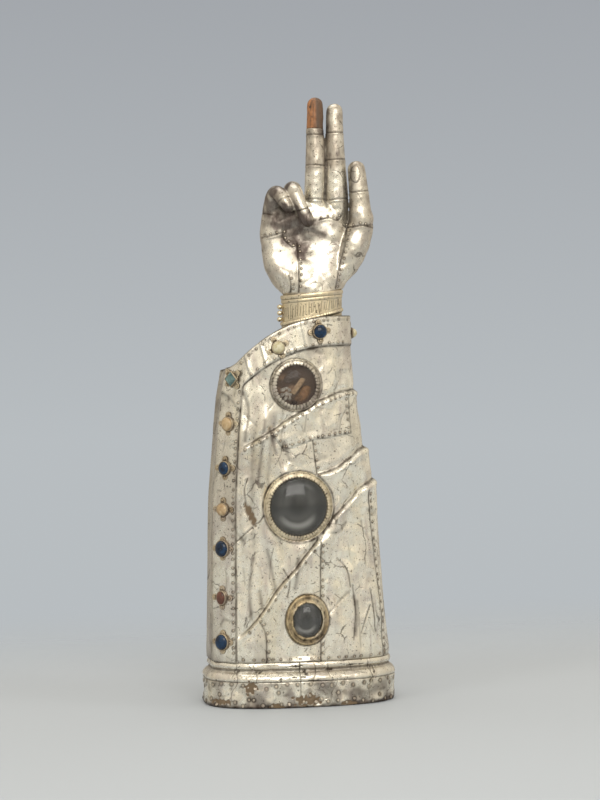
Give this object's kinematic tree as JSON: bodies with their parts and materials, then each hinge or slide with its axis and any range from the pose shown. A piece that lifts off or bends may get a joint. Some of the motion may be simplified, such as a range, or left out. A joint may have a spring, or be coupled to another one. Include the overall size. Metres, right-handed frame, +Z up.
{
  "type": "arm reliquary",
  "caption": "Arm-shaped reliquary: a silver blessing hand above a draped sleeve with crystal windows, a stone-set hem and an oval plinth.",
  "frame": {"origin": "middle of the plinth's underside, on the surface that it stands on", "axes": "+Z up along the raised arm, -Y towards the front with the palm and the windows, +X towards the thumb side"},
  "size_m": [0.2002, 0.101, 0.6197],
  "materials": {
    "silver": "worn, dented silver sheet with warm tarnish",
    "gilding": "worn gilding over silver",
    "wood": "bare old wood, darkened",
    "crystal": "polished rock crystal",
    "stone_blue": "polished blue stone",
    "stone_pearl": "polished milky stone",
    "stone_teal": "polished grey-green stone",
    "stone_amber": "polished pale amber stone",
    "stone_orange": "polished brownish orange stone",
    "stone_garnet": "polished dark red stone"
  },
  "bodies": {
    "root": {"plinth": "silver", "sleeve": "silver", "hand": "silver", "bare_fingertip": "wood", "wrist_band": "gilding", "cuff_button_1": "gilding", "cuff_button_2": "gilding", "cuff_button_3": "gilding", "window_rim_upper": "gilding", "window_rim_middle": "gilding", "window_rim_lower": "gilding", "crystal_upper": "crystal", "crystal_middle": "crystal", "crystal_lower": "crystal", "setting_hem_1": "gilding", "setting_hem_2": "gilding", "setting_hem_3": "gilding", "setting_hem_end": "gilding", "setting_strip_1": "gilding", "setting_strip_2": "gilding", "setting_strip_3": "gilding", "setting_strip_4": "gilding", "setting_strip_5": "gilding", "setting_strip_6": "gilding", "setting_back_1": "gilding", "setting_back_2": "gilding", "setting_back_3": "gilding", "setting_back_4": "gilding", "stone_hem_1": "stone_blue", "stone_hem_2": "stone_pearl", "stone_hem_3": "stone_teal", "stone_hem_end": "stone_pearl", "stone_strip_1": "stone_amber", "stone_strip_2": "stone_blue", "stone_strip_3": "stone_orange", "stone_strip_4": "stone_blue", "stone_strip_5": "stone_garnet", "stone_strip_6": "stone_blue", "stone_back_1": "stone_pearl", "stone_back_2": "stone_blue", "stone_back_3": "stone_amber", "stone_back_4": "stone_blue"}
  },
  "joints": []
}
